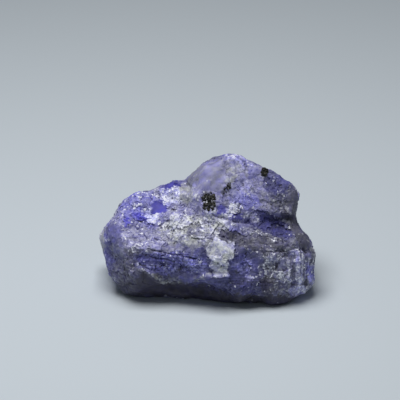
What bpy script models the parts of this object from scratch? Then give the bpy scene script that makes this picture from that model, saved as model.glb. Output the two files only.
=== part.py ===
"""A lump of rough tanzanite, broken all round and resting on a small flat spot.

The stone is a few lumps that grew together. Each lump is an egg shape that breaks have shaved flat
in places. The lumps are melted into one skin, hollows are pressed into it, and the skin is
roughened, thinned and cut off flat where it rests.
Lengths are in millimetres here and in metres in the scene. X runs along the stone, Y to its back
and Z up. The origin is on the table, under the middle of the stone.
"""

import math

import bmesh
import bpy
from mathutils import Euler, Matrix, Vector

MM = 0.001

# The skin: the grid that melts the lumps together, how far and how often each point is drawn
# towards its neighbours, the triangles kept, and the angle from which an edge shows as sharp
SKIN_GRID = 0.34
SOFTENING, SOFTENING_STEPS = 0.6, 6
SKIN_TRIANGLES = 9000
SHARP_ANGLE = 35

# Roughness of the skin: the size of a swell, a chip or a grain, and its height
SWELL_SIZE, SWELL_HEIGHT = 5.5, 1.3
CHIP_SIZE, CHIP_HEIGHT = 3.2, 0.9
GRAIN_SIZE, GRAIN_HEIGHT = 1.5, 0.5

# The stone's look: linear colour, roughness
INDIGO = (0.105, 0.095, 0.245, 1.0)
INDIGO_ROUGHNESS = 0.5

# Each lump: its centre, its half sizes, its turn about X, Y and Z in degrees, and its breaks.
# A break is a point on the broken face, its heading and its climb. Heading 0 faces +X, 90 the
# back and -90 the front, and climb is how far the face looks up.
LUMPS = {
    "body": (
        (0.2, 0.0, 4.6),
        (17.0, 11.0, 9.6),
        (0, 0, 0),
        [
            ((-14.2, 0.0, 5.0), 188, -16),
            ((-13.2, 0.0, 9.0), 160, 37),
            ((-9.3, 2.0, 12.8), 118, 60),
            ((-5.0, -2.0, 11.5), -92, 61),
            ((-4.0, -8.4, 5.0), -97, 6),
            ((-4.0, -8.0, 3.5), -96, -33),
            ((-11.2, -6.4, 5.0), -134, -8),
            ((6.0, -8.8, 4.0), -84, 14),
            ((14.7, -2.0, 2.6), 3, -6),
            ((13.7, -5.0, 0.0), -18, -33),
            ((13.6, -1.0, 8.0), 14, 30),
            ((2.0, 9.6, 4.5), 84, -8),
            ((-8.5, 7.2, 5.0), 122, 6),
            ((-4.0, 6.0, 11.6), 97, 38),
            ((11.0, 6.8, 4.0), 50, 6),
            ((3.0, 2.6, 0.0), 84, -62),
            ((-8.5, 0.0, 0.0), 150, -62),
            ((8.5, 1.0, 0.0), 30, -60),
        ],
    ),
    "head": (
        (4.9, 1.4, 10.0),
        (9.0, 7.3, 8.6),
        (0, 0, 0),
        [
            ((-2.2, 2.0, 18.0), 152, 46),
            ((3.5, 4.0, 17.2), 92, 67),
            ((7.0, 3.5, 16.0), 34, 50),
            ((11.2, 3.0, 14.6), 22, 42),
            ((12.7, 1.5, 11.3), -4, -8),
            ((4.5, -2.2, 14.4), -80, 40),
            ((-1.6, 0.0, 17.0), -126, 50),
            ((4.0, 7.0, 12.6), 80, 22),
        ],
    ),
    "shoulder": (
        (-6.6, 1.4, 9.2),
        (6.4, 5.0, 5.0),
        (0, -14, 10),
        [
            ((-9.3, 2.0, 12.7), 118, 60),
            ((-5.0, 3.0, 14.2), 100, 74),
            ((-8.0, -3.0, 11.0), -104, 54),
        ],
    ),
    "crest": (
        (0.6, -4.6, 7.4),
        (7.6, 5.0, 5.2),
        (0, 20, -16),
        [
            ((1.0, -9.0, 5.6), -92, 18),
            ((0.0, -5.0, 11.2), -100, 58),
            ((4.6, -7.0, 7.4), -48, 24),
            ((-4.6, -6.4, 9.0), -130, 40),
        ],
    ),
    "flank": (
        (7.0, -2.6, 4.8),
        (8.0, 7.4, 6.2),
        (0, 0, 0),
        [
            ((13.6, -1.0, 8.2), 12, 30),
            ((14.7, -2.0, 2.6), 0, -6),
            ((8.0, -8.8, 4.0), -78, 20),
            ((8.0, -8.7, 2.1), -86, -30),
            ((13.7, -5.0, 0.0), -18, -33),
        ],
    ),
    "outer_rib": ((14.0, -3.9, 3.4), (1.0, 1.3, 2.5), (0, -4, 0), []),
    "inner_rib": ((13.1, -5.7, 3.5), (0.9, 1.0, 2.9), (0, -8, 0), []),
}

# Hollows pressed into the skin: centre, half sizes, turn
HOLLOWS = {
    "undercut": ((-2.4, -9.6, 2.0), (7.0, 3.7, 1.8), (0, 0, -6)),
    "crease": ((9.4, -4.6, 11.4), (5.6, 1.7, 1.3), (-20, 14, 12)),
    "notch": ((13.7, -0.6, 9.7), (1.5, 3.0, 0.9), (0, 18, 0)),
    "saddle": ((-3.4, 1.6, 15.2), (0.8, 3.4, 0.9), (24, 0, 14)),
}


def facing(heading, climb):
    """The unit vector that points along a heading and climb, in degrees."""
    flat = math.cos(math.radians(climb))
    east = flat * math.cos(math.radians(heading))
    north = flat * math.sin(math.radians(heading))
    return Vector((east, north, math.sin(math.radians(climb))))


def shave(mesh, point, normal):
    """Cuts away what lies beyond a plane and closes the cut with one flat face."""
    shape = bmesh.new()
    shape.from_mesh(mesh)
    everything = shape.verts[:] + shape.edges[:] + shape.faces[:]
    cut = bmesh.ops.bisect_plane(
        shape, geom=everything, plane_co=point, plane_no=normal, clear_outer=True
    )
    rim = [piece for piece in cut["geom_cut"] if isinstance(piece, bmesh.types.BMEdge)]
    bmesh.ops.edgenet_fill(shape, edges=rim)
    bmesh.ops.recalc_face_normals(shape, faces=shape.faces[:])
    shape.to_mesh(mesh)
    shape.free()


def add_egg(name, centre, half_sizes, turn):
    """An egg shape of those half sizes, turned about its centre."""
    bpy.ops.mesh.primitive_ico_sphere_add(subdivisions=4, radius=1.0)
    egg = bpy.context.object
    egg.name = name
    place = Matrix.Translation(Vector(centre) * MM)
    spin = Euler([math.radians(angle) for angle in turn]).to_matrix().to_4x4()
    size = Matrix.Diagonal([half * MM for half in half_sizes]).to_4x4()
    egg.data.transform(place @ spin @ size)
    return egg


def add_lump(name, centre, half_sizes, turn, breaks):
    """An egg shape shaved along each of its breaks."""
    lump = add_egg(name, centre, half_sizes, turn)
    for point, heading, climb in breaks:
        shave(lump.data, Vector(point) * MM, facing(heading, climb))
    return lump


def move_to(collection, piece):
    """Puts a piece in one collection and no other."""
    for holder in list(piece.users_collection):
        holder.objects.unlink(piece)
    collection.objects.link(piece)


def join(pieces, name):
    """Makes one object of the pieces."""
    bpy.ops.object.select_all(action="DESELECT")
    for piece in pieces:
        piece.select_set(True)
    bpy.context.view_layer.objects.active = pieces[0]
    bpy.ops.object.join()
    pieces[0].name = pieces[0].data.name = name
    return pieces[0]


def melt(stone):
    """Gives the stone one even skin around all that is joined in it."""
    remesh = stone.modifiers.new("melt", "REMESH")
    remesh.mode = "VOXEL"
    remesh.voxel_size = SKIN_GRID * MM


def press_hollows(stone, cutters):
    """Cuts each hollow out of the stone."""
    for name, shape in HOLLOWS.items():
        hollow = add_egg(name, *shape)
        hollow.hide_render = True
        hollow.display_type = "WIRE"
        move_to(cutters, hollow)
        press = stone.modifiers.new(name, "BOOLEAN")
        press.operation = "DIFFERENCE"
        press.object = hollow


def soften(stone):
    """Rounds the edges of the breaks a little."""
    smooth = stone.modifiers.new("soften", "SMOOTH")
    smooth.factor = SOFTENING
    smooth.iterations = SOFTENING_STEPS


def roughen(stone, name, pattern, size, height):
    """Moves the skin in and out along its normals, by half of height each way."""
    texture = bpy.data.textures.new(name, pattern)
    texture.noise_scale = size * MM
    if pattern == "VORONOI":
        texture.distance_metric = "CHEBYCHEV"
    displace = stone.modifiers.new(name, "DISPLACE")
    displace.texture = texture
    displace.texture_coords = "LOCAL"
    displace.strength = height * MM


def apply_modifiers(stone):
    """Makes the stone's modifiers part of its mesh."""
    graph = bpy.context.evaluated_depsgraph_get()
    skin = bpy.data.meshes.new_from_object(stone.evaluated_get(graph))
    stone.modifiers.clear()
    stone.data = skin


def thin(stone):
    """Collapses the skin, which is all four-sided faces, to about SKIN_TRIANGLES triangles."""
    decimate = stone.modifiers.new("thin", "DECIMATE")
    decimate.ratio = SKIN_TRIANGLES / (2 * len(stone.data.polygons))
    apply_modifiers(stone)


def centre_over_origin(stone):
    """Moves the skin so that the middle of its box is over the origin."""
    corners = [Vector(corner) for corner in stone.bound_box]
    middle = (corners[0] + corners[6]) / 2
    middle.z = 0
    stone.data.transform(Matrix.Translation(-middle))


def shade(stone):
    """Shades the skin smooth between its sharp edges."""
    stone.data.shade_smooth()
    stone.data.set_sharp_from_angle(angle=math.radians(SHARP_ANGLE))


def give_colour(stone):
    material = bpy.data.materials.new("tanzanite")
    material.use_nodes = True
    shader = material.node_tree.nodes["Principled BSDF"]
    shader.inputs["Base Color"].default_value = INDIGO
    shader.inputs["Roughness"].default_value = INDIGO_ROUGHNESS
    shader.inputs["Metallic"].default_value = 0.0
    stone.data.materials.clear()
    stone.data.materials.append(material)


def main():
    for startup_object in list(bpy.data.objects):
        bpy.data.objects.remove(startup_object)
    specimen = bpy.data.collections.new("rough_tanzanite")
    cutters = bpy.data.collections.new("cutters")
    for collection in (specimen, cutters):
        bpy.context.scene.collection.children.link(collection)

    stone = join([add_lump(name, *shape) for name, shape in LUMPS.items()], "stone")
    move_to(specimen, stone)
    melt(stone)
    press_hollows(stone, cutters)
    melt(stone)
    soften(stone)
    roughen(stone, "swells", "CLOUDS", SWELL_SIZE, SWELL_HEIGHT)
    roughen(stone, "chips", "VORONOI", CHIP_SIZE, CHIP_HEIGHT)
    roughen(stone, "grains", "CLOUDS", GRAIN_SIZE, GRAIN_HEIGHT)
    apply_modifiers(stone)
    thin(stone)
    shave(stone.data, Vector((0, 0, 0)), Vector((0, 0, -1)))
    centre_over_origin(stone)
    shade(stone)
    give_colour(stone)


main()
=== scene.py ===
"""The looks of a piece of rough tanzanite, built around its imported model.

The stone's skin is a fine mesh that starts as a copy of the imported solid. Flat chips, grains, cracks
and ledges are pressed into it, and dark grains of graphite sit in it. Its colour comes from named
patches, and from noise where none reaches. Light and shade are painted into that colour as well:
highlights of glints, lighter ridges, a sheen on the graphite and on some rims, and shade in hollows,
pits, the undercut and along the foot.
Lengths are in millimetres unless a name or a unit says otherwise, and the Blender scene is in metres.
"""

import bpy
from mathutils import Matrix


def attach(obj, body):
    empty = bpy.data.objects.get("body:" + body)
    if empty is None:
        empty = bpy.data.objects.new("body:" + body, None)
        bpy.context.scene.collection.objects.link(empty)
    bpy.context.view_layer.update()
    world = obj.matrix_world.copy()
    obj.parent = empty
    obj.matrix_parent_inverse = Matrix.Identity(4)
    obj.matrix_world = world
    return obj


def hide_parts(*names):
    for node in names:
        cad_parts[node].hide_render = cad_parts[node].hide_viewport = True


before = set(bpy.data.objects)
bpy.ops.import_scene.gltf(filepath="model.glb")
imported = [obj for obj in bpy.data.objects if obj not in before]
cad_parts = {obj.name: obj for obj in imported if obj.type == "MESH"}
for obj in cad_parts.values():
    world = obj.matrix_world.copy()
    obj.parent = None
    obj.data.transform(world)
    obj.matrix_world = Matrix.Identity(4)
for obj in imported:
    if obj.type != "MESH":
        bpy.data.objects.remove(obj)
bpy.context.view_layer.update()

import math
from collections import namedtuple

import bpy
import numpy as np
from bpy.props import FloatProperty, FloatVectorProperty, IntProperty, PointerProperty
from mathutils import Matrix, Vector
from mathutils.bvhtree import BVHTree

bl_info = {
    "name": "Rough tanzanite",
    "version": (1, 0, 0),
    "blender": (4, 5, 0),
    "location": "3D View > Sidebar > Tanzanite",
    "description": "Dresses a packed stone as rough tanzanite",
    "category": "Object",
}

MM = 0.001

# Points nearer to each other than this, in metres, are one
WELD = 1e-6

# The camera of the photo, whose frame is PHOTO_PIXELS square: how far it looks down, how far off it
# is, how many pixels a millimetre of the stone takes, and the pixel where the origin shows
PHOTO_PIXELS = 400
LOOK_DOWN = 25
CAMERA_DISTANCE = 350
PIXELS_PER_MM = 7.17
ORIGIN_PIXEL = (206.5, 278.8)
SENSOR_WIDTH = 36

# A patch of colour on the stone's skin: the pixel of its middle, its half width and half height as the
# photo shows them, its turn in degrees, its colour and how bright that is, how much of the skin it
# covers, its grain from smooth 0 to coarse 1, and its share of glints, which are painted highlights. A
# later patch lies over an earlier one.
Patch = namedtuple("Patch", "pixel half turn colour bright cover grain glint")

PATCHES = {
    "left front": Patch((138, 262), (7.0, 4.5), 0, "slate", 1.1, 1.0, 0.8, 0.1),
    "right front": Patch((280, 262), (6.7, 6.7), 0, "smoke", 0.98, 1.0, 0.9, 0.4),
    "middle front": Patch((215, 270), (7.0, 4.2), 0, "indigo", 0.95, 1.0, 0.5, 0.06),
    "top left": Patch((165, 215), (8.6, 5.0), 8, "lilac", 0.95, 1.0, 0.9, 0.5),
    "head": Patch((248, 187), (7.8, 5.3), 15, "lilac", 0.85, 1.0, 0.6, 0.2),
    "left end": Patch((112, 252), (1.8, 4.5), 0, "indigo", 1.55, 0.9, 0.75, 0.1),
    "left end pale": Patch((117, 250), (1.0, 1.25), 0, "smoke", 1.2, 0.6, 0.6, 0.1),
    "lower left": Patch((122, 273), (1.95, 1.8), 0, "slate", 1.0, 0.8, 0.9, 0.15),
    "left foot": Patch((129, 291), (3.1, 1.1), 0, "slate", 0.6, 1.0, 0.6, 0.02),
    "tip": Patch((114, 232), (1.0, 1.25), 0, "violet", 0.62, 0.9, 0.3, 0.05),
    # Painted sheen at the outline of the tip, as a pale frosted rim
    "tip rim": Patch((102, 237), (0.42, 2.1), 0, "pale", 0.9, 0.9, 0.2, 0.0),
    "shoulder": Patch((142, 208), (3.8, 2.4), -20, "violet", 1.04, 1.0, 0.85, 0.8),
    "shoulder low": Patch((148, 237), (3.8, 1.4), 0, "lilac", 1.0, 1.0, 0.9, 0.7),
    "shoulder middle": Patch((170, 212), (1.95, 1.4), 0, "lilac", 1.15, 0.8, 0.9, 0.8),
    "shoulder bright": Patch((171, 196), (1.65, 1.1), 0, "frost", 0.98, 0.9, 0.9, 2.0),
    # Painted highlights: dense glints on the shoulder
    "shoulder glints": Patch((151, 216), (1.0, 0.85), 0, "frost", 1.4, 0.9, 1.0, 4.0),
    "vivid spot": Patch((157.5, 207), (0.9, 0.9), 20, "vivid", 0.72, 1.0, 0.1, 0.0),
    "vivid streak": Patch((140, 216.5), (1.05, 0.5), -20, "vivid", 1.0, 0.9, 0.8, 0.2),
    "vivid corner": Patch((127, 221.5), (0.59, 0.59), 30, "vivid", 1.0, 0.85, 0.8, 0.2),
    "top edge": Patch((171, 185), (1.25, 0.45), 12, "vivid", 0.5, 1.0, 0.5, 0.05),
    "neck": Patch((187, 194), (1.0, 1.65), 0, "pale", 0.85, 0.85, 0.45, 0.4),
    "crest": Patch((190, 229), (4.2, 1.8), 0, "pale", 0.96, 1.0, 0.95, 0.8),
    "crest left": Patch((181, 222), (1.4, 0.85), 0, "pale", 1.3, 0.85, 1.0, 2.2),
    "crest middle": Patch((197, 231), (1.3, 0.75), 0, "smoke", 0.98, 0.9, 0.8, 0.2),
    "crest right": Patch((214, 224), (1.95, 1.1), -10, "pale", 1.15, 0.9, 1.0, 1.8),
    "crest foot": Patch((188, 243), (2.8, 0.7), 0, "pale", 0.78, 0.8, 0.7, 0.3),
    "pale slab": Patch((221, 250), (1.95, 1.8), -30, "pale", 1.23, 1.0, 0.5, 0.5),
    "tongue": Patch((219.5, 266), (1.4, 1.25), -8, "pale", 1.2, 0.95, 0.6, 0.2),
    "tongue line": Patch((218, 275), (1.4, 0.17), 0, "pale", 1.1, 0.9, 0.2, 0.3),
    "band": Patch((171, 262), (5.3, 1.55), 0, "indigo", 1.45, 1.0, 1.1, 0.35),
    "band lilac": Patch((176, 248), (2.8, 0.49), -3, "lilac", 0.8, 0.85, 0.6, 0.15),
    "band deep": Patch((155, 260), (2.5, 0.56), -5, "deep", 1.45, 0.8, 0.8, 0.05),
    "band right": Patch((197, 266), (1.4, 1.1), 0, "violet", 1.0, 0.9, 0.9, 1.0),
    "ledge": Patch((168, 280), (2.5, 0.49), -12, "smoke", 0.62, 0.85, 0.8, 0.15),
    "lip left": Patch((150, 274), (1.4, 0.2), -38, "pale", 0.5, 0.8, 0.6, 0.3),
    "lip middle": Patch((172, 282.5), (1.8, 0.2), -8, "pale", 0.6, 0.8, 0.6, 0.6),
    "lip right": Patch((199, 279), (1.4, 0.17), 14, "pale", 0.55, 0.8, 0.6, 0.5),
    # Painted shade under the ledge, deepening the stone's dark lower face
    "undercut": Patch((195, 292), (8.4, 1.1), -3, "shade", 0.92, 1.0, 0.2, 0.0),
    "undercut left": Patch((147, 283), (1.55, 1.1), -30, "shade", 0.8, 0.95, 0.1, 0.0),
    "dome": Patch((209, 174), (2.5, 2.4), 0, "lilac", 0.98, 1.0, 0.1, 0.02),
    # Painted sheen at the dome's left outline, as a grey frosted rim
    "dome rim": Patch((195, 173), (0.7, 1.65), -35, "smoke", 1.3, 0.8, 0.1, 0.0),
    "head top": Patch((240, 162), (1.8, 1.25), 0, "lilac", 1.5, 0.9, 0.5, 0.4),
    "head middle": Patch((241, 186), (1.65, 1.8), 0, "lilac", 1.05, 0.95, 0.55, 0.25),
    "head pale": Patch((232, 175), (0.7, 1.65), -25, "pale", 0.8, 0.7, 0.4, 0.3),
    "head low": Patch((245, 201), (2.1, 1.1), 0, "violet", 0.92, 0.95, 0.7, 0.4),
    "head right": Patch((279, 183), (2.4, 1.95), -35, "indigo", 0.95, 1.0, 0.8, 0.2),
    "head right blue": Patch((281, 181), (1.1, 0.7), -35, "deep", 1.5, 0.85, 0.5, 0.03),
    "head grey": Patch((282, 203), (1.95, 1.25), 0, "smoke", 0.9, 0.95, 0.9, 0.35),
    "head rim": Patch((294, 201), (1.0, 2.1), 12, "smoke", 0.6, 0.9, 0.4, 0.05),
    "spot side": Patch((254, 172), (0.7, 1.0), 0, "violet", 0.75, 0.85, 0.5, 0.1),
    "head foot": Patch((224, 212), (2.4, 0.7), -12, "lilac", 1.65, 0.9, 0.8, 1.8),
    "head vivid": Patch((222, 210), (0.65, 0.56), 0, "vivid", 0.75, 0.85, 0.5, 0.1),
    "head vivid low": Patch((238, 216), (0.85, 0.42), -10, "vivid", 0.6, 0.8, 0.5, 0.1),
    # Painted highlights: dense glints below the head
    "head glints": Patch((235, 208), (0.85, 0.65), -15, "lilac", 1.4, 0.95, 1.0, 4.0),
    "belt": Patch((267, 223), (2.8, 1.2), -22, "deep", 1.2, 1.0, 0.7, 0.06),
    "belt grey": Patch((251, 217), (1.05, 0.7), 0, "lilac", 1.15, 0.9, 0.9, 0.8),
    "belt right": Patch((281, 232), (1.8, 1.25), -20, "deep", 1.15, 0.95, 0.7, 0.12),
    # Painted shadow in the cleft under the right of the head
    "belt shadow": Patch((290, 217), (1.55, 0.56), -20, "shade", 0.9, 0.85, 0.5, 0.05),
    "right shoulder": Patch((302, 232), (1.25, 2.4), 25, "slate", 0.8, 1.0, 0.3, 0.03),
    "grey field": Patch((264, 244), (3.9, 1.25), -5, "slate", 1.04, 1.0, 0.7, 0.3),
    "smear": Patch((232, 237), (1.95, 0.85), -12, "slate", 0.72, 0.95, 0.7, 0.1),
    "flank indigo": Patch((243, 264), (1.4, 1.25), 0, "indigo", 1.95, 0.95, 0.9, 0.3),
    "flank deep": Patch((238, 258), (0.7, 0.56), 0, "deep", 1.2, 0.8, 0.8, 0.05),
    "flank streak": Patch((253, 277), (1.25, 0.25), 0, "lilac", 1.25, 0.85, 0.6, 1.6),
    "flank sparkle": Patch((276, 268), (2.1, 2.2), 0, "smoke", 1.48, 0.8, 1.0, 1.5),
    "front low": Patch((240, 287), (4.2, 1.0), -3, "indigo", 0.72, 0.95, 0.9, 0.2),
    "front low streak": Patch((222, 282), (1.8, 0.28), -2, "indigo", 1.0, 0.8, 0.3, 0.02),
    # Painted shade in a dark seam near the foot
    "dark seam": Patch((268, 286), (1.0, 1.25), 0, "shade", 0.9, 0.8, 0.7, 0.25),
    "ribs": Patch((299, 268), (1.8, 2.8), 0, "lilac", 0.92, 0.9, 0.8, 1.1),
    "outer rib": Patch((312, 274), (0.7, 1.25), 0, "violet", 1.1, 0.9, 0.9, 1.0),
    "rib foot": Patch((298, 291), (1.25, 0.85), 0, "lilac", 1.42, 0.8, 0.8, 0.6),
    # Painted shade along the foot, where the stone meets the table
    "base": Patch((252, 300), (8.1, 0.75), -2, "shade", 0.7, 0.95, 0.4, 0.02),
    # The bed of the graphite cluster holds painted highlights among its grains
    "cluster bed": Patch((209, 202), (0.85, 1.2), 0, "soot", 1.5, 0.8, 1.0, 1.5),
    "smudge bed": Patch((226, 189), (1.05, 0.31), 50, "soot", 3.0, 0.65, 0.8, 0.1),
    "spot bed": Patch((265, 173), (0.5, 0.56), 0, "soot", 1.0, 0.9, 0.8, 0.1),
}

# How far the skin of some patches stands out of the rest, or lies deeper
RISES = {
    "pale slab": 0.3,
    "tongue": 0.2,
    "crest left": 0.2,
    "ribs": 0.15,
    "flank sparkle": 0.15,
    "head glints": 0.15,
    "shoulder bright": 0.1,
    "lower left": 0.1,
    "grey field": -0.1,
    "smear": -0.15,
    "belt": -0.2,
    "belt right": -0.2,
}

# Where a patch fades out and where its rise ends, in half sizes of its oval, and how much further than
# the mean of its two half sizes the oval reaches into the stone
PATCH_EDGE = (0.8, 1.15)
RISE_EDGE = (0.93, 1.05)
PATCH_DEPTH = 3.0

# Noise of SWAY_SIZE frays the outlines of the patches. It moves them by up to half of FRAY, or of
# SMALL_FRAY where a half of the patch is under SMALL_PATCH. Whole crystals take one colour.
SWAY_SIZE = 1.3
FRAY = 1.6
SMALL_FRAY = 0.9
SMALL_PATCH = 1.25
CRYSTAL_SIZE = 0.5

# Fine parallel streaks along an oval: its pixel, its half width and half height, its turn, how far
# they darken or lighten the skin, and how often they change across half of it
Streaks = namedtuple("Streaks", "pixel half turn depth count")

STREAKS = {
    "band streaks": Streaks((172, 261), (5.3, 1.65), -3, 0.24, 7.0),
    "front streaks": Streaks((238, 279), (4.7, 1.55), -2, 0.26, 6.0),
    "dome streaks": Streaks((211, 172), (3.1, 1.95), 35, 0.06, 4.0),
    "head streaks": Streaks((240, 182), (3.6, 2.1), -58, 0.16, 5.0),
    # The glint streaks are painted highlights in parallel lines over the glint group
    "glint streaks": Streaks((235, 208), (1.0, 1.0), 78, 0.6, 3.0),
    "rib streaks": Streaks((301, 268), (3.1, 1.65), 90, 0.38, 4.0),
}

# How often a streak changes along half of its oval, and the noise at which it is darkest and lightest
STREAK_CHANGES = 0.9
STREAK_RANGE = (0.38, 0.62)

# A mark in the skin: the pixels along it, its half width, and its height, below zero in a groove
Mark = namedtuple("Mark", "pixels half_width height")

MARKS = {
    "upper fissure": Mark([(148, 249), (161, 252), (175, 255), (186, 257), (196, 259)], 0.13, -0.25),
    "lower fissure": Mark([(145, 255), (154, 258), (166, 259), (174, 262)], 0.14, -0.22),
    "ledge lip": Mark(
        [(141, 269), (148, 271), (156, 278), (166, 282), (178, 283), (192, 279), (205, 276), (228, 275)],
        0.35,
        0.45,
    ),
    "tongue line": Mark([(209, 276), (220, 275), (228, 275)], 0.2, 0.3),
    "crevice": Mark([(214, 216), (224, 217), (236, 221), (248, 221)], 0.3, -0.5),
    "neck crack": Mark([(183, 180), (187, 184), (190, 190)], 0.25, -0.45),
    "head crack": Mark([(236, 155), (243, 160), (247, 167)], 0.2, -0.3),
    "rib groove": Mark([(304, 250), (306, 262), (307, 274), (306, 286)], 0.3, -0.35),
    "inner rib groove": Mark([(291, 256), (293, 270), (293, 284)], 0.3, -0.25),
    "inner rib": Mark([(297, 254), (299, 268), (299, 284)], 0.4, 0.22),
}

# Where graphite sits: the pixel of the middle, the half width and half height, the turn, the number
# of grains and their half size
Cluster = namedtuple("Cluster", "pixel half turn grains radius")

GRAPHITE = {
    "cluster": Cluster((209, 201.5), (0.95, 1.3), 0, 64, 0.235),
    "smudge": Cluster((226.5, 188.5), (0.95, 0.38), 50, 30, 0.12),
    "spot": Cluster((264.5, 173), (0.42, 0.47), 0, 16, 0.33),
}

# The breaks that shape a grain of graphite of half size 1 into a tablet: heading, climb and distance
# from its middle
TABLET = [(60 * side, 0, 0.8) for side in range(6)] + [(0, 90, 0.55), (0, -90, 0.55)]

# The grains of graphite: where their random draws start, how much their size and their shape vary,
# and how deep one sinks into the skin, in its own half sizes
GRAPHITE_SEED = 7
GRAPHITE_SPREAD = (0.6, 1.4)
GRAPHITE_STRETCH = (0.7, 1.3)
GRAPHITE_SINK = 0.35

# How far and how often each point of the fine copy is drawn towards its neighbours
SOFTENING, SOFTENING_STEPS = 0.6, 12

# The skin's grain where no patch reaches, the share of the largest chips that smooth skin has, the
# height above the table at which the skin gets its full roughness, and the angle from which an edge
# shows as sharp
BASE_GRAIN = 0.75
SMOOTH_FLAKES = 0.3
FLAT_FADE = 1.4
SHARP_ANGLE = 28

# How far a point stands out of the skin around it: steps of averaging, and the height at which a
# ridge or a hollow shows in full
RELIEFS = {"fine_relief": (5, 0.09), "broad_relief": (50, 0.2)}

# The sizes of the patterns in the colour: noise for the drifts of colour and of grey, for brightness,
# hue and the density of glints, and cells for grains, for specks and for chunks
DRIFT, GREY_DRIFT = 5.5, 4.0
MOTTLE, HUE_SPOT, GLINT_FIELD = 1.1, 0.8, 1.2
GRAIN, SPECK, CHUNK = 0.34, 0.21, 0.55

# How many times noise is doubled in fineness where it needs detail, and its brightness where it is 0
DETAIL = 3
DARKEST = 0.5

# The colours where no patch reaches, and the noise that each belongs to
DRIFT_COLOURS = [(0.34, "deep"), (0.43, "indigo"), (0.51, "violet"), (0.56, "lilac"), (0.64, "pale")]

# Ramps: where each starts and ends, and what it gives there. The noise of the grey drifts gives their
# cover, the noise of the colour drifts gives the grain and the share of glints where no patch reaches,
# noise gives the density of glints, and the share of glints gives how much they cover.
GREY_RAMP = (0.42, 0.56, 0.0, 0.85)
GRAIN_RAMP = (0.34, 0.5, 0.4, BASE_GRAIN)
GLINT_RAMP = (0.4, 0.65, 0.1, 0.8)
DENSITY_RAMP = (0.42, 0.6, 0.1, 1.6)
COVER_RAMP = (0.0, 0.5, 0.3, 1.0)

# How far the noise of the grey drifts lies from that of the colour drifts
GREY_SHIFT = (40.0, 0.0, 0.0)

# How much the lots of grains and specks change the brightness, and how much painted light a ridge adds
# and painted shade a hollow takes
GRAIN_LUCK, SPECK_LUCK = 0.66, 0.44
RIDGE_PAINTED_LIGHT, HOLLOW_PAINTED_SHADE = 0.26, 0.14

# The hue of the clear and of the frosted parts of the skin, the noise at which the skin is fully the
# one and the other, and how much the lots add to that noise
CLEAR_HUE = (0.92, 0.91, 1.18, 1)
FROSTED_HUE = (1.11, 1.12, 0.97, 1)
HUE_RANGE = (0.3, 0.7)
HUE_LUCK = 0.6

# Dark pits, painted shade among the grains of the hollows: the share of the grains in a hollow that
# are one, how much they cover, and how bright their painted shade is
PIT_SHARE, PIT_COVER, PIT_BRIGHT = 0.08, 0.8, 0.7

# Glints are highlights painted into the colour. The share of grains, specks and chunks that glint at a
# density of 1, and by how much that of chunks falls short. Away from ridges glints are as dense as
# GLINT_BASE, and a ridge adds GLINT_RIDGE.
GRAIN_GLINTS, SPECK_GLINTS, CHUNK_GLINTS = 0.13, 0.12, 0.08
CHUNK_SHORTFALL = 0.03
GLINT_BASE, GLINT_RIDGE = 0.4, 0.8

# How much the painted highlight of the dimmest glint covers the colour, and how much more the brightest
# does
GLINT_LEAST, GLINT_MORE = 0.6, 0.38

# The roughness of the skin, how much smoother its luckiest grains are, and that of a glint
SKIN_ROUGHNESS, GRAIN_POLISH, GLINT_ROUGHNESS = 0.66, 0.34, 0.16

# The facets and the dents that the light shows on the skin: the size and the slope of the facets, the
# size and the depth of the dents, and how strongly they show
FACET, FACET_SLOPE = 0.3, 0.5
DENT, DENT_DEPTH = 0.12, 0.05
SKIN_BUMP = 0.5

# The graphite: its colours and the noise that each belongs to, the size of that noise, its roughness
# with how much noise adds, the size of that noise, and its facets. Soot is its own black, the olive is a
# painted sheen and the grey flecks are painted highlights.
GRAPHITE_COLOURS = [(0.5, "soot"), (0.62, "painted_olive_sheen"), (0.72, "smoke")]
GRAPHITE_SPOT = 0.35
GRAPHITE_ROUGHNESS, GRAPHITE_ROUGHER, GRAPHITE_GRIT = 0.4, 0.3, 0.2
GRAPHITE_FACET = 0.16
GRAPHITE_BUMP = 0.6

# The refraction that the stone and the graphite shine with, lower than that of clean tanzanite
# because their surface is frosted
SURFACE_IOR = 1.4

# Where the lamp is in metres, and how far it leans
LAMP_PLACE = (-0.03, -0.015, 0.21)
LAMP_LEAN = -12

# The side of the floor in metres and its roughness, and how near the camera sees, in metres
FLOOR_SIZE = 3.0
FLOOR_ROUGHNESS = 0.8
CLIP_START = 0.01


class TanzaniteSizes(bpy.types.PropertyGroup):
    """The sizes of what the skin is made of"""

    skin_grid: FloatProperty(
        name="Skin grid", description="Spacing of the points that the skin is shaped with",
        default=0.105 * MM, min=0.05 * MM, unit="LENGTH", precision=5,
    )
    skin_triangles: IntProperty(
        name="Skin triangles", description="Triangles that the finished skin keeps",
        default=196000, min=1000,
    )
    flake_size: FloatProperty(
        name="Flake size", description="Width of the largest flat chips", default=2.3 * MM, unit="LENGTH"
    )
    flake_slope: FloatProperty(
        name="Flake slope", description="How steeply the largest chips tilt", default=0.075, min=0
    )
    chip_size: FloatProperty(
        name="Chip size", description="Width of the middle chips", default=0.95 * MM, unit="LENGTH"
    )
    chip_slope: FloatProperty(
        name="Chip slope", description="How steeply the middle chips tilt", default=0.11, min=0
    )
    grain_size: FloatProperty(
        name="Grain size", description="Width of the sugary grains", default=0.42 * MM, unit="LENGTH"
    )
    grain_slope: FloatProperty(
        name="Grain slope", description="How steeply the faces of the grains tilt", default=0.26, min=0
    )


def colour_property(name, description, default):
    return FloatVectorProperty(
        name=name, description=description, default=default, subtype="COLOR", size=3, min=0, max=1
    )


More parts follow.
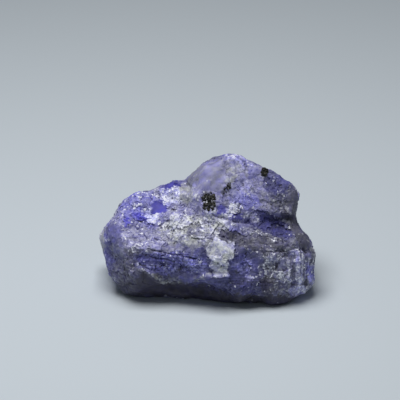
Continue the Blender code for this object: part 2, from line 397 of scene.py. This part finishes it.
class TanzaniteColours(bpy.types.PropertyGroup):
    """The colours of the stone"""

    vivid: colour_property("Vivid", "Clearest violet blue spots", (0.105, 0.096, 0.56))
    violet: colour_property("Violet", "Violet blue of the shoulder", (0.215, 0.212, 0.50))
    lilac: colour_property("Lilac", "Milky violet", (0.29, 0.285, 0.47))
    indigo: colour_property("Indigo", "Dark violet blue", (0.108, 0.107, 0.25))
    deep: colour_property("Deep indigo", "Darkest blue, below the head", (0.062, 0.062, 0.183))
    slate: colour_property("Slate", "Dark grey", (0.122, 0.119, 0.18))
    smoke: colour_property("Smoke", "Middle grey", (0.178, 0.178, 0.25))
    pale: colour_property("Pale", "Whitish grey", (0.455, 0.46, 0.53))
    frost: colour_property("Frost", "Sugary violet white", (0.50, 0.505, 0.78))
    # Painted shade: near black for the undercut, the cleft by the belt, the dark seam, the foot and the
    # pits
    shade: colour_property("Shade", "Near black of the undercut", (0.07, 0.065, 0.10))
    # Glint is the near white of painted highlights, mixed into the colour over glinting crystal faces
    glint: colour_property("Glint", "Bright crystal faces", (0.9, 0.91, 1.0))
    soot: colour_property("Soot", "Graphite", (0.01, 0.01, 0.01))
    # A painted sheen on the graphite
    painted_olive_sheen: colour_property("Olive", "Sheen on the graphite", (0.04, 0.037, 0.018))


class TanzaniteStage(bpy.types.PropertyGroup):
    """The floor and the light"""

    floor: colour_property("Floor", "Colour of the floor", (0.6, 0.655, 0.70))
    lamp_power: FloatProperty(
        name="Lamp power", description="Power of the soft lamp", default=0.4, min=0, unit="POWER",
    )
    lamp_size: FloatProperty(
        name="Lamp size", description="Side of the soft lamp", default=0.12, min=0, unit="LENGTH",
    )
    sky: colour_property("Sky", "Colour of the light from all sides", (0.86, 0.93, 1.0))
    sky_strength: FloatProperty(
        name="Sky strength", description="Strength of the light from all sides", default=0.11, min=0,
    )


class Wire:
    """What one socket gives. Sums on it add Math nodes, so that 1 - wire is a wire too."""

    def __init__(self, nodes, socket):
        self.nodes = nodes
        self.socket = socket

    def output(self, name):
        """Another output of the same node."""
        return Wire(self.nodes, self.socket.node.outputs[name])

    def __add__(self, other):
        return self.nodes.math("ADD", self, other)

    def __radd__(self, other):
        return self.nodes.math("ADD", other, self)

    def __sub__(self, other):
        return self.nodes.math("SUBTRACT", self, other)

    def __rsub__(self, other):
        return self.nodes.math("SUBTRACT", other, self)

    def __mul__(self, other):
        return self.nodes.math("MULTIPLY", self, other)

    def __rmul__(self, other):
        return self.nodes.math("MULTIPLY", other, self)

    def __gt__(self, other):
        return self.nodes.math("GREATER_THAN", self, other)

    def __lt__(self, other):
        return self.nodes.math("LESS_THAN", self, other)


class Nodes:
    """Adds nodes to one node tree, for a material or for a shape."""

    def __init__(self, tree):
        self.tree = tree
        tree.nodes.clear()

    def add(self, kind, settings=None, inputs=None, output=0):
        """A node of that kind: its settings first, then its sockets' values or links."""
        node = self.tree.nodes.new(kind)
        for name, value in (settings or {}).items():
            if name == "stops":
                self.set_stops(node.color_ramp, value)
            else:
                setattr(node, name, value)
        for name, value in (inputs or {}).items():
            if isinstance(value, Wire):
                self.tree.links.new(value.socket, node.inputs[name])
            else:
                node.inputs[name].default_value = value
        return Wire(self, node.outputs[output]) if node.outputs else node

    def set_stops(self, ramp, stops):
        while len(ramp.elements) < len(stops):
            ramp.elements.new(1.0)
        for element, (position, colour) in zip(ramp.elements, stops):
            element.position = position
            element.color = rgba(colour)

    def math(self, operation, first, second):
        return self.add("ShaderNodeMath", {"operation": operation}, {0: first, 1: second})

    def vector(self, operation, first, second, output=0):
        return self.add("ShaderNodeVectorMath", {"operation": operation}, {0: first, 1: second}, output)

    def scaled(self, vector, factor):
        return self.add("ShaderNodeVectorMath", {"operation": "SCALE"}, {0: vector, "Scale": factor})

    def mix(self, share, first, second):
        """Colours mixed: share 0 gives the first and 1 the second."""
        return self.add("ShaderNodeMix", {"data_type": "RGBA"}, {0: share, 6: first, 7: second}, 2)

    def blend(self, share, first, second):
        """Values mixed: share 0 gives the first and 1 the second."""
        return self.add("ShaderNodeMix", {"data_type": "FLOAT"}, {0: share, 2: first, 3: second})

    def ramp(self, value, low, high, to_low=0.0, to_high=1.0):
        """The value led smoothly from between low and high to between to_low and to_high."""
        inputs = {0: value, 1: low, 2: high, 3: to_low, 4: to_high}
        return self.add("ShaderNodeMapRange", {"interpolation_type": "SMOOTHSTEP"}, inputs)

    def noise(self, place, size, detail=2.0, output=0):
        inputs = {"Vector": place, "Scale": 1 / size, "Detail": detail}
        return self.add("ShaderNodeTexNoise", {}, inputs, output)

    def cells(self, place, size):
        return self.add("ShaderNodeTexVoronoi", {}, {"Vector": place, "Scale": 1 / size})

    def stepped(self, value, steps, colours):
        """The value led to a colour, through steps that each hold a value and a colour's name."""
        stops = [(position, getattr(colours, name)) for position, name in steps]
        return self.add("ShaderNodeValToRGB", {"stops": stops}, {0: value})

    def bump(self, height, strength):
        """Lights the surface as if it had that height in millimetres."""
        return self.add("ShaderNodeBump", {}, {"Height": height, "Distance": MM, "Strength": strength})

    def lots(self, cells):
        """The three lots from 0 to 1 that each cell draws, as the outputs X, Y and Z."""
        return self.add("ShaderNodeSeparateXYZ", {}, {0: cells.output("Color")})

    def point(self):
        """In a shape: where each point is, in millimetres."""
        return self.scaled(self.add("GeometryNodeInputPosition"), 1 / MM)

    def stored(self, name):
        """In a shape: the value that store kept for each point under that name."""
        return self.add("GeometryNodeInputNamedAttribute", {"data_type": "FLOAT"}, {"Name": name})

    def place(self):
        """In a material: where each spot of the piece is, in millimetres."""
        return self.scaled(self.add("ShaderNodeTexCoord", output="Object"), 1 / MM)

    def kept(self, name, output="Fac"):
        """In a material: what store kept for each point under that name."""
        return self.add("ShaderNodeAttribute", {"attribute_name": name}, output=output)


def rgba(colour, bright=1.0):
    """The colour made brighter or darker, as a socket takes it."""
    return (*(min(1.0, bright * channel) for channel in colour), 1.0)


def sway(nodes, place):
    """Noise from -0.5 to 0.5 each way, which frays the outlines of the patches."""
    return nodes.vector("SUBTRACT", nodes.noise(place, SWAY_SIZE, DETAIL, "Color"), (0.5, 0.5, 0.5))


def facets(nodes, place, size, slope):
    """The height of a skin of flat chips, each with a tilt of its own."""
    chips = nodes.cells(place, size)
    tilt = nodes.vector("SUBTRACT", chips.output("Color"), (0.5, 0.5, 0.5))
    offset = nodes.vector("SUBTRACT", place, chips.output("Position"))
    return nodes.vector("DOT_PRODUCT", tilt, offset, "Value") * (2 * slope)


def photo_axes():
    """The photo's camera place, and the directions it looks in and has as up."""
    tilt = math.radians(LOOK_DOWN)
    forward = Vector((0, math.cos(tilt), -math.sin(tilt)))
    up = Vector((0, math.sin(tilt), math.cos(tilt)))
    across = (PHOTO_PIXELS / 2 - ORIGIN_PIXEL[0]) / PIXELS_PER_MM
    above = (ORIGIN_PIXEL[1] - PHOTO_PIXELS / 2) / PIXELS_PER_MM
    place = Vector((across, 0, 0)) + up * above - forward * CAMERA_DISTANCE
    return place, forward, up


def surface_of(piece):
    """The piece's surface in millimetres, for casting rays at."""
    corners = [corner.co / MM for corner in piece.data.vertices]
    return BVHTree.FromPolygons(corners, [tuple(face.vertices) for face in piece.data.polygons])


def seen_at(surface, pixel):
    """The point of a surface that a pixel of the photo shows, and its normal there."""
    place, forward, up = photo_axes()
    across = (pixel[0] - PHOTO_PIXELS / 2) / PIXELS_PER_MM
    above = (PHOTO_PIXELS / 2 - pixel[1]) / PIXELS_PER_MM
    ray = forward * CAMERA_DISTANCE + Vector((across, 0, 0)) + up * above
    point, normal, _, _ = surface.ray_cast(place, ray.normalized())
    if not point:
        raise ValueError(f"no stone at pixel {pixel}")
    return point, normal


def lie_on(surface, pixel, half, turn):
    """Where an oval seen at a pixel lies: its middle, its turn as a matrix and its three half sizes.

    It lies square to the photo's view and reaches some way into the stone, so it holds what bulges.
    """
    _, forward, up = photo_axes()
    square = Matrix((Vector((1, 0, 0)), up, -forward)).transposed()
    wide, high = half
    deep = PATCH_DEPTH + (wide + high) / 2
    middle, _ = seen_at(surface, pixel)
    return middle, square @ Matrix.Rotation(math.radians(turn), 3, "Z"), Vector((wide, high, deep))


def all_lies(surface):
    """Where every patch and every oval of streaks lies."""
    ovals = {**PATCHES, **STREAKS}
    return {name: lie_on(surface, oval.pixel, oval.half, oval.turn) for name, oval in ovals.items()}


def select_only(piece):
    bpy.ops.object.select_all(action="DESELECT")
    piece.select_set(True)
    bpy.context.view_layer.objects.active = piece


def modify(piece, kind, **settings):
    """Adds a modifier with those settings and applies it."""
    modifier = piece.modifiers.new(kind.title(), kind)
    for name, value in settings.items():
        setattr(modifier, name, value)
    select_only(piece)
    bpy.ops.object.modifier_apply(modifier=modifier.name)


def break_off(piece, breaks):
    """Cuts off what lies beyond each break, and closes the cuts with triangles.

    A break is a point in metres and a normal.
    """
    select_only(piece)
    bpy.ops.object.mode_set(mode="EDIT")
    for point, normal in breaks:
        bpy.ops.mesh.select_all(action="SELECT")
        bpy.ops.mesh.bisect(plane_co=point, plane_no=normal, clear_outer=True, threshold=WELD)
        bpy.ops.mesh.select_all(action="SELECT")
        bpy.ops.mesh.fill_holes(sides=0)
    bpy.ops.mesh.select_all(action="SELECT")
    bpy.ops.mesh.quads_convert_to_tris(ngon_method="BEAUTY")
    bpy.ops.object.mode_set(mode="OBJECT")


def points_of(piece):
    """The piece's points in millimetres, one row each."""
    flat = np.empty(3 * len(piece.data.vertices), np.float32)
    piece.data.vertices.foreach_get("co", flat)
    return flat.reshape(-1, 3) / MM


def store(piece, name, values):
    """Keeps a number or a colour for each of the piece's points under that name."""
    kind, field = ("FLOAT", "value") if values.ndim == 1 else ("FLOAT_VECTOR", "vector")
    attribute = piece.data.attributes.new(name, kind, "POINT")
    attribute.data.foreach_set(field, values.astype(np.float32).ravel())


def forget(piece, *names):
    for name in names:
        piece.data.attributes.remove(piece.data.attributes[name])


def smoothstep(values, low, high):
    share = np.clip((values - low) / (high - low), 0, 1)
    return share * share * (3 - 2 * share)


def run_on(piece, name, make):
    """Applies geometry nodes to a piece: make gets the nodes and the shape and gives the new shape."""
    tree = bpy.data.node_groups.new(name, "GeometryNodeTree")
    for way in ("INPUT", "OUTPUT"):
        tree.interface.new_socket("Geometry", in_out=way, socket_type="NodeSocketGeometry")
    nodes = Nodes(tree)
    nodes.add("NodeGroupOutput", {}, {"Geometry": make(nodes, nodes.add("NodeGroupInput"))})
    modify(piece, "NODES", node_group=tree)
    bpy.data.node_groups.remove(tree)


def push_out(piece, height_of):
    """Moves the skin along its normals by what height_of gives, and less where it isn't free."""

    def pushed(nodes, shape):
        height = height_of(nodes, nodes.point()) * nodes.stored("free") * MM
        move = nodes.scaled(nodes.add("GeometryNodeInputNormal"), height)
        return nodes.add("GeometryNodeSetPosition", {}, {"Geometry": shape, "Offset": move})

    run_on(piece, "push_out", pushed)


def store_nodes(piece, name, kind, value_of):
    """Keeps what value_of gives for each point under that name."""

    def keeping(nodes, shape):
        inputs = {"Geometry": shape, "Name": name, "Value": value_of(nodes)}
        settings = {"data_type": kind, "domain": "POINT"}
        return nodes.add("GeometryNodeStoreNamedAttribute", settings, inputs)

    run_on(piece, name, keeping)


def take_nodes(piece, value_of):
    """The vector that value_of gives for each point, one row each."""
    store_nodes(piece, "taken", "FLOAT_VECTOR", value_of)
    flat = np.empty(3 * len(piece.data.vertices), np.float32)
    piece.data.attributes["taken"].data.foreach_get("vector", flat)
    forget(piece, "taken")
    return flat.reshape(-1, 3)


def store_relief(piece, name, steps):
    """Keeps how far each point stands out of the skin around it, in millimetres."""

    def relief(nodes):
        inputs = {"Value": nodes.point(), "Iterations": steps}
        around = nodes.add("GeometryNodeBlurAttribute", {"data_type": "FLOAT_VECTOR"}, inputs)
        offset = nodes.vector("SUBTRACT", nodes.point(), around)
        return nodes.vector("DOT_PRODUCT", offset, nodes.add("GeometryNodeInputNormal"), "Value")

    store_nodes(piece, name, "FLOAT", relief)


def patches_at(piece, lies):
    """What the patches give each point: tint, glint, grain and the share left bare, and its rise."""
    colours = bpy.context.scene.tanzanite_colours

    def crystal(nodes):
        return nodes.cells(nodes.point(), CRYSTAL_SIZE).output("Position")

    swayed = take_nodes(piece, lambda nodes: sway(nodes, nodes.point()))
    crystals = take_nodes(piece, crystal)
    rises = np.zeros(len(crystals))

    # One row for each point: red, green, blue, glint, grain and the share left bare
    values = np.zeros((len(crystals), 6), np.float32)
    values[:, 5] = 1
    for name, patch in PATCHES.items():
        middle, turned, halves = lies[name]
        small = min(patch.half) < SMALL_PATCH
        frayed = crystals + (SMALL_FRAY if small else FRAY) * swayed
        local = (frayed - np.array(middle)) @ np.array(turned) / np.array(halves)
        away = np.linalg.norm(local, ord=4 if small else 2, axis=1)
        share = patch.cover * (1 - smoothstep(away, *PATCH_EDGE))
        rises += RISES.get(name, 0) * (1 - smoothstep(away, *RISE_EDGE))
        tint = [patch.bright * channel for channel in getattr(colours, patch.colour)]
        values += share[:, None] * (np.array([*tint, patch.glint, patch.grain, 0]) - values)
    kept = {"tint": values[:, :3], "glint": values[:, 3], "grain": values[:, 4], "bare": values[:, 5]}
    return kept, rises


def distance_to_path(points, path):
    """How far each point is from a path of straight runs."""
    nearest = np.full(len(points), np.inf)
    for start, end in zip(path, path[1:]):
        start, along = np.array(start), np.array(end) - np.array(start)
        share = np.clip((points - start) @ along / (along @ along), 0, 1)
        gap = np.linalg.norm(points - start - share[:, None] * along, axis=1)
        nearest = np.minimum(nearest, gap)
    return nearest


def mark_heights(surface, points):
    """How far out the marks push each point."""
    heights = np.zeros(len(points))
    for mark in MARKS.values():
        path = [seen_at(surface, pixel)[0] for pixel in mark.pixels]
        reach = distance_to_path(points, path) / mark.half_width
        heights += mark.height * np.exp(-reach * reach)
    return heights


def fine_copy(stone, grid):
    """A copy of the stone's solid with a fine, even and smooth mesh."""
    skin = bpy.data.objects.new("stone_skin", stone.data.copy())
    bpy.context.scene.collection.objects.link(skin)
    select_only(skin)
    bpy.ops.object.mode_set(mode="EDIT")
    bpy.ops.mesh.select_all(action="SELECT")
    bpy.ops.mesh.remove_doubles(threshold=WELD)
    bpy.ops.object.mode_set(mode="OBJECT")
    modify(skin, "REMESH", mode="VOXEL", voxel_size=grid)
    modify(skin, "SMOOTH", factor=SOFTENING, iterations=SOFTENING_STEPS)
    return skin


def chip(skin, surface, lies):
    """Presses flat chips, marks and grains into the skin."""
    sizes = bpy.context.scene.tanzanite_sizes
    points = points_of(skin)
    patches, rises = patches_at(skin, lies)
    store(skin, "free", smoothstep(points[:, 2], 0, FLAT_FADE))
    store(skin, "grain", patches["grain"] + patches["bare"] * BASE_GRAIN)
    store(skin, "marks", mark_heights(surface, points) + rises)

    def chipped(nodes, place):
        flakes = facets(nodes, place, sizes.flake_size / MM, sizes.flake_slope)
        chips = facets(nodes, place, sizes.chip_size / MM, sizes.chip_slope)
        grain = nodes.stored("grain")
        flaked = SMOOTH_FLAKES + (1 - SMOOTH_FLAKES) * grain
        return flakes * flaked + chips * grain + nodes.stored("marks")

    def grainy(nodes, place):
        return facets(nodes, place, sizes.grain_size / MM, sizes.grain_slope) * nodes.stored("grain")

    push_out(skin, chipped)
    push_out(skin, grainy)
    forget(skin, "free", "grain", "marks")


def finish_skin(skin, lies):
    """Thins the skin, cuts it off flat at the table, and keeps on it what its material reads."""
    kept_triangles = bpy.context.scene.tanzanite_sizes.skin_triangles
    modify(skin, "DECIMATE", ratio=min(1.0, kept_triangles / (2 * len(skin.data.polygons))))
    break_off(skin, [((0, 0, 0), (0, 0, -1))])
    for name, (steps, _) in RELIEFS.items():
        store_relief(skin, name, steps)
    patches, _ = patches_at(skin, lies)
    for name, values in patches.items():
        store(skin, name, values)
    select_only(skin)
    bpy.ops.object.shade_smooth_by_angle(angle=math.radians(SHARP_ANGLE))


def new_material(name):
    material = bpy.data.materials.new(name)
    material.use_nodes = True
    return material, Nodes(material.node_tree)


def finish_material(nodes, colour, roughness, bump):
    """Ends a material in its shader."""
    inputs = {"Base Color": colour, "Roughness": roughness, "Normal": bump, "IOR": SURFACE_IOR}
    shader = nodes.add("ShaderNodeBsdfPrincipled", {}, inputs)
    nodes.add("ShaderNodeOutputMaterial", {}, {"Surface": shader})


def streak_tone(nodes, place, lies):
    """How bright the fine streaks leave the skin: 1 where there are none."""
    tone = 1.0
    for name, streaks in STREAKS.items():
        middle, turned, halves = lies[name]
        inputs = {"Vector": place, "Location": middle, "Rotation": turned.to_euler(), "Scale": halves}
        local = nodes.add("ShaderNodeMapping", {"vector_type": "TEXTURE"}, inputs)
        away = nodes.add("ShaderNodeVectorMath", {"operation": "LENGTH"}, {0: local}, "Value")
        stretched = nodes.vector("MULTIPLY", local, (STREAK_CHANGES, streaks.count, streaks.count))
        line = nodes.ramp(nodes.noise(stretched, 1.0), *STREAK_RANGE, -streaks.depth, streaks.depth)
        tone = tone + line * nodes.ramp(away, *PATCH_EDGE, 1.0, 0.0)
    return tone


def ridge_and_hollow(nodes):
    """How much of a ridge and how much of a hollow each spot of the skin is."""
    ridge, hollow = 0.0, 0.0
    for name, (_, full) in RELIEFS.items():
        relief = nodes.kept(name)
        ridge = ridge + nodes.ramp(relief, 0.0, full)
        hollow = hollow + nodes.ramp(relief, -full, 0.0, 1.0, 0.0)
    return ridge, hollow


def skin_colour(nodes, frayed):
    """The colour, the grain and the share of glints, from the patches or, where none is, from drifts."""
    colours = bpy.context.scene.tanzanite_colours
    cloud = nodes.noise(frayed, DRIFT, DETAIL)
    grey = nodes.noise(nodes.vector("ADD", nodes.place(), GREY_SHIFT), GREY_DRIFT, DETAIL)
    drifts = nodes.stepped(cloud, DRIFT_COLOURS, colours)
    drifts = nodes.mix(nodes.ramp(grey, *GREY_RAMP), drifts, rgba(colours.smoke))
    bare = nodes.kept("bare")
    colour = nodes.vector("ADD", nodes.scaled(drifts, bare), nodes.kept("tint", "Vector"))
    grain = bare * nodes.ramp(cloud, *GRAIN_RAMP) + nodes.kept("grain")
    glint = bare * nodes.ramp(cloud, *GLINT_RAMP) + nodes.kept("glint")
    return colour, grain, glint


def glinting(nodes, glint, ridge, grain_lots, speck_lots, chunk_lots):
    """How much each spot is a glint of a crystal face, whose highlight is painted into the colour."""
    density = nodes.ramp(nodes.noise(nodes.place(), GLINT_FIELD), *DENSITY_RAMP)
    glint = glint * density * (GLINT_BASE + GLINT_RIDGE * ridge)
    bright = grain_lots.output("Z") > 1 - GRAIN_GLINTS * glint
    bright = nodes.math("MAXIMUM", bright, speck_lots.output("Z") > 1 - SPECK_GLINTS * glint)
    chunky = chunk_lots.output("Z") > 1 + CHUNK_SHORTFALL - CHUNK_GLINTS * glint
    bright = nodes.math("MAXIMUM", bright, chunky)
    return bright * nodes.ramp(glint, *COVER_RAMP)


def tanzanite(lies):
    """The stone's finish: patches of colour, split into grains, with painted glints, painted shade in
    pits and hollows, painted light on ridges, and small facets.
    """
    colours = bpy.context.scene.tanzanite_colours
    material, nodes = new_material("tanzanite")
    place = nodes.place()
    frayed = nodes.vector("ADD", place, nodes.scaled(sway(nodes, place), FRAY))
    grain_lots = nodes.lots(nodes.cells(frayed, GRAIN))
    speck_lots = nodes.lots(nodes.cells(place, SPECK))
    chunk_lots = nodes.lots(nodes.cells(frayed, CHUNK))
    ridge, hollow = ridge_and_hollow(nodes)
    colour, grain, glint = skin_colour(nodes, frayed)

    luck = GRAIN_LUCK * (grain_lots - 0.5) + SPECK_LUCK * (speck_lots - 0.5)
    # Painted light on ridges and painted shade in hollows, added to the random tone of the grains
    tone = 1 + grain * (luck + RIDGE_PAINTED_LIGHT * ridge - HOLLOW_PAINTED_SHADE * hollow)
    mottle = DARKEST + nodes.noise(place, MOTTLE, DETAIL)
    colour = nodes.scaled(colour, tone * mottle * streak_tone(nodes, place, lies))
    frosted = nodes.noise(place, HUE_SPOT, DETAIL) + HUE_LUCK * grain * luck
    hue = nodes.mix(nodes.ramp(frosted, *HUE_RANGE), CLEAR_HUE, FROSTED_HUE)
    colour = nodes.vector("MULTIPLY", colour, hue)
    # Painted shade: dark pits among the grains of the hollows
    painted_pit_shade = (grain_lots.output("Y") < PIT_SHARE * grain * hollow) * PIT_COVER
    colour = nodes.mix(painted_pit_shade, colour, rgba(colours.shade, PIT_BRIGHT))

    # Painted highlights: glinting spots get near white in the colour, and a glossier roughness
    bright = glinting(nodes, glint, ridge, grain_lots, speck_lots, chunk_lots)
    cover = bright * (GLINT_LEAST + GLINT_MORE * speck_lots.output("Y"))
    colour = nodes.mix(cover, colour, rgba(colours.glint))
    roughness = nodes.blend(bright, SKIN_ROUGHNESS - GRAIN_POLISH * grain_lots * grain, GLINT_ROUGHNESS)
    height = facets(nodes, place, FACET, FACET_SLOPE) + DENT_DEPTH * nodes.noise(place, DENT)
    finish_material(nodes, colour, roughness, nodes.bump(height, SKIN_BUMP * grain))
    return material


def graphite():
    """Black with a little painted olive sheen and grey flecks of painted highlights, rough and
    glittering.
    """
    colours = bpy.context.scene.tanzanite_colours
    material, nodes = new_material("graphite")
    place = nodes.place()
    colour = nodes.stepped(nodes.noise(place, GRAPHITE_SPOT, DETAIL), GRAPHITE_COLOURS, colours)
    roughness = GRAPHITE_ROUGHNESS + GRAPHITE_ROUGHER * nodes.noise(place, GRAPHITE_GRIT)
    height = facets(nodes, place, GRAPHITE_FACET, FACET_SLOPE)
    finish_material(nodes, colour, roughness, nodes.bump(height, GRAPHITE_BUMP))
    return material


def tablet():
    """One grain of graphite with a half size of 1: a ball broken into a six-sided tablet."""
    bpy.ops.object.select_all(action="DESELECT")
    bpy.ops.mesh.primitive_ico_sphere_add(subdivisions=2, radius=MM)
    grain = bpy.context.object
    breaks = []
    for heading, climb, reach in TABLET:
        flat = math.cos(math.radians(climb))
        east, north = flat * math.cos(math.radians(heading)), flat * math.sin(math.radians(heading))
        normal = Vector((east, north, math.sin(math.radians(climb))))
        breaks.append((normal * reach * MM, normal))
    break_off(grain, breaks)
    return grain


def pixel_in(cluster, rng):
    """A random pixel of the photo in a cluster."""
    angle, reach = rng.uniform(0, math.tau), math.sqrt(rng.uniform(0, 1))
    across = reach * math.cos(angle) * cluster.half[0]
    above = reach * math.sin(angle) * cluster.half[1]
    turn = math.radians(cluster.turn)
    right = across * math.cos(turn) - above * math.sin(turn)
    up = across * math.sin(turn) + above * math.cos(turn)
    return cluster.pixel[0] + right * PIXELS_PER_MM, cluster.pixel[1] - up * PIXELS_PER_MM


class TANZANITE_OT_stone_skin(bpy.types.Operator):
    """Builds the stone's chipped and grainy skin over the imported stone"""

    bl_idname = "tanzanite.stone_skin"
    bl_label = "Stone skin"

    def execute(self, context):
        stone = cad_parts["stone"]
        surface = surface_of(stone)
        lies = all_lies(surface)
        skin = fine_copy(stone, context.scene.tanzanite_sizes.skin_grid)
        chip(skin, surface, lies)
        finish_skin(skin, lies)
        skin.data.materials.clear()
        skin.data.materials.append(tanzanite(lies))
        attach(skin, "root")
        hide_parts("stone")
        return {"FINISHED"}


class TANZANITE_OT_graphite_grains(bpy.types.Operator):
    """Sets dark grains of graphite into the stone's head"""

    bl_idname = "tanzanite.graphite_grains"
    bl_label = "Graphite grains"

    def execute(self, context):
        rng = np.random.default_rng(GRAPHITE_SEED)
        surface = surface_of(bpy.data.objects["stone_skin"])
        model = tablet()
        bpy.ops.object.select_all(action="DESELECT")
        for cluster in GRAPHITE.values():
            for _ in range(cluster.grains):
                seen, normal = seen_at(surface, pixel_in(cluster, rng))
                radius = cluster.radius * rng.uniform(*GRAPHITE_SPREAD)
                grain = model.copy()
                grain.data = model.data.copy()
                grain.location = (seen - normal * (GRAPHITE_SINK * radius)) * MM
                grain.rotation_euler = rng.uniform(0, math.tau, 3)
                grain.scale = radius * rng.uniform(*GRAPHITE_STRETCH, 3)
                context.scene.collection.objects.link(grain)
                grain.select_set(True)
        context.view_layer.objects.active = grain
        bpy.data.objects.remove(model)
        bpy.ops.object.join()
        bpy.ops.object.transform_apply(location=True, rotation=True, scale=True)
        grain.name = "graphite_grains"
        grain.data.materials.append(graphite())
        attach(grain, "root")
        return {"FINISHED"}


class TANZANITE_OT_stage(bpy.types.Operator):
    """Adds the pale floor, the soft light and the camera of the photo"""

    bl_idname = "tanzanite.stage"
    bl_label = "Floor, light and camera"

    def execute(self, context):
        stage = context.scene.tanzanite_stage
        bpy.ops.mesh.primitive_plane_add(size=FLOOR_SIZE)
        floor = context.object
        floor.name = "floor"
        look = bpy.data.materials.new("floor")
        look.use_nodes = True
        shader = look.node_tree.nodes["Principled BSDF"]
        shader.inputs["Base Color"].default_value = rgba(stage.floor)
        shader.inputs["Roughness"].default_value = FLOOR_ROUGHNESS
        shader.inputs["Specular IOR Level"].default_value = 0.0
        floor.data.materials.append(look)

        lean = (0, math.radians(LAMP_LEAN), 0)
        bpy.ops.object.light_add(type="AREA", location=LAMP_PLACE, rotation=lean)
        lamp = context.object.data
        lamp.shape = "SQUARE"
        lamp.size = stage.lamp_size
        lamp.energy = stage.lamp_power

        context.scene.world = bpy.data.worlds.new("studio")
        context.scene.world.use_nodes = True
        background = context.scene.world.node_tree.nodes["Background"]
        background.inputs["Color"].default_value = rgba(stage.sky)
        background.inputs["Strength"].default_value = stage.sky_strength

        place, forward, _ = photo_axes()
        bpy.ops.object.camera_add(location=place * MM)
        camera = context.object
        camera.rotation_euler = forward.to_track_quat("-Z", "Y").to_euler()
        camera.data.sensor_width = SENSOR_WIDTH
        camera.data.lens = SENSOR_WIDTH * CAMERA_DISTANCE * PIXELS_PER_MM / PHOTO_PIXELS
        camera.data.clip_start = CLIP_START
        context.scene.camera = camera
        context.scene.view_settings.view_transform = "Standard"
        return {"FINISHED"}


class TANZANITE_PT_panel(bpy.types.Panel):
    """Lists the sizes, the colours and the steps"""

    bl_idname = "TANZANITE_PT_panel"
    bl_label = "Rough tanzanite"
    bl_space_type = "VIEW_3D"
    bl_region_type = "UI"
    bl_category = "Tanzanite"

    def draw(self, context):
        for group in PROPERTIES:
            box = self.layout.box()
            values = getattr(context.scene, group)
            for name in values.__annotations__:
                box.prop(values, name)
        for step in STEPS:
            self.layout.operator(step.bl_idname)


PROPERTIES = {
    "tanzanite_sizes": TanzaniteSizes,
    "tanzanite_colours": TanzaniteColours,
    "tanzanite_stage": TanzaniteStage,
}
STEPS = (TANZANITE_OT_stone_skin, TANZANITE_OT_graphite_grains, TANZANITE_OT_stage)
CLASSES = (*PROPERTIES.values(), *STEPS, TANZANITE_PT_panel)


def register():
    for kind in CLASSES:
        bpy.utils.register_class(kind)
    for name, group in PROPERTIES.items():
        setattr(bpy.types.Scene, name, PointerProperty(type=group))


def unregister():
    for name in PROPERTIES:
        delattr(bpy.types.Scene, name)
    for kind in reversed(CLASSES):
        bpy.utils.unregister_class(kind)


def main():
    register()
    bpy.ops.tanzanite.stone_skin()
    bpy.ops.tanzanite.graphite_grains()
    bpy.ops.tanzanite.stage()


if __name__ == "__main__":
    main()
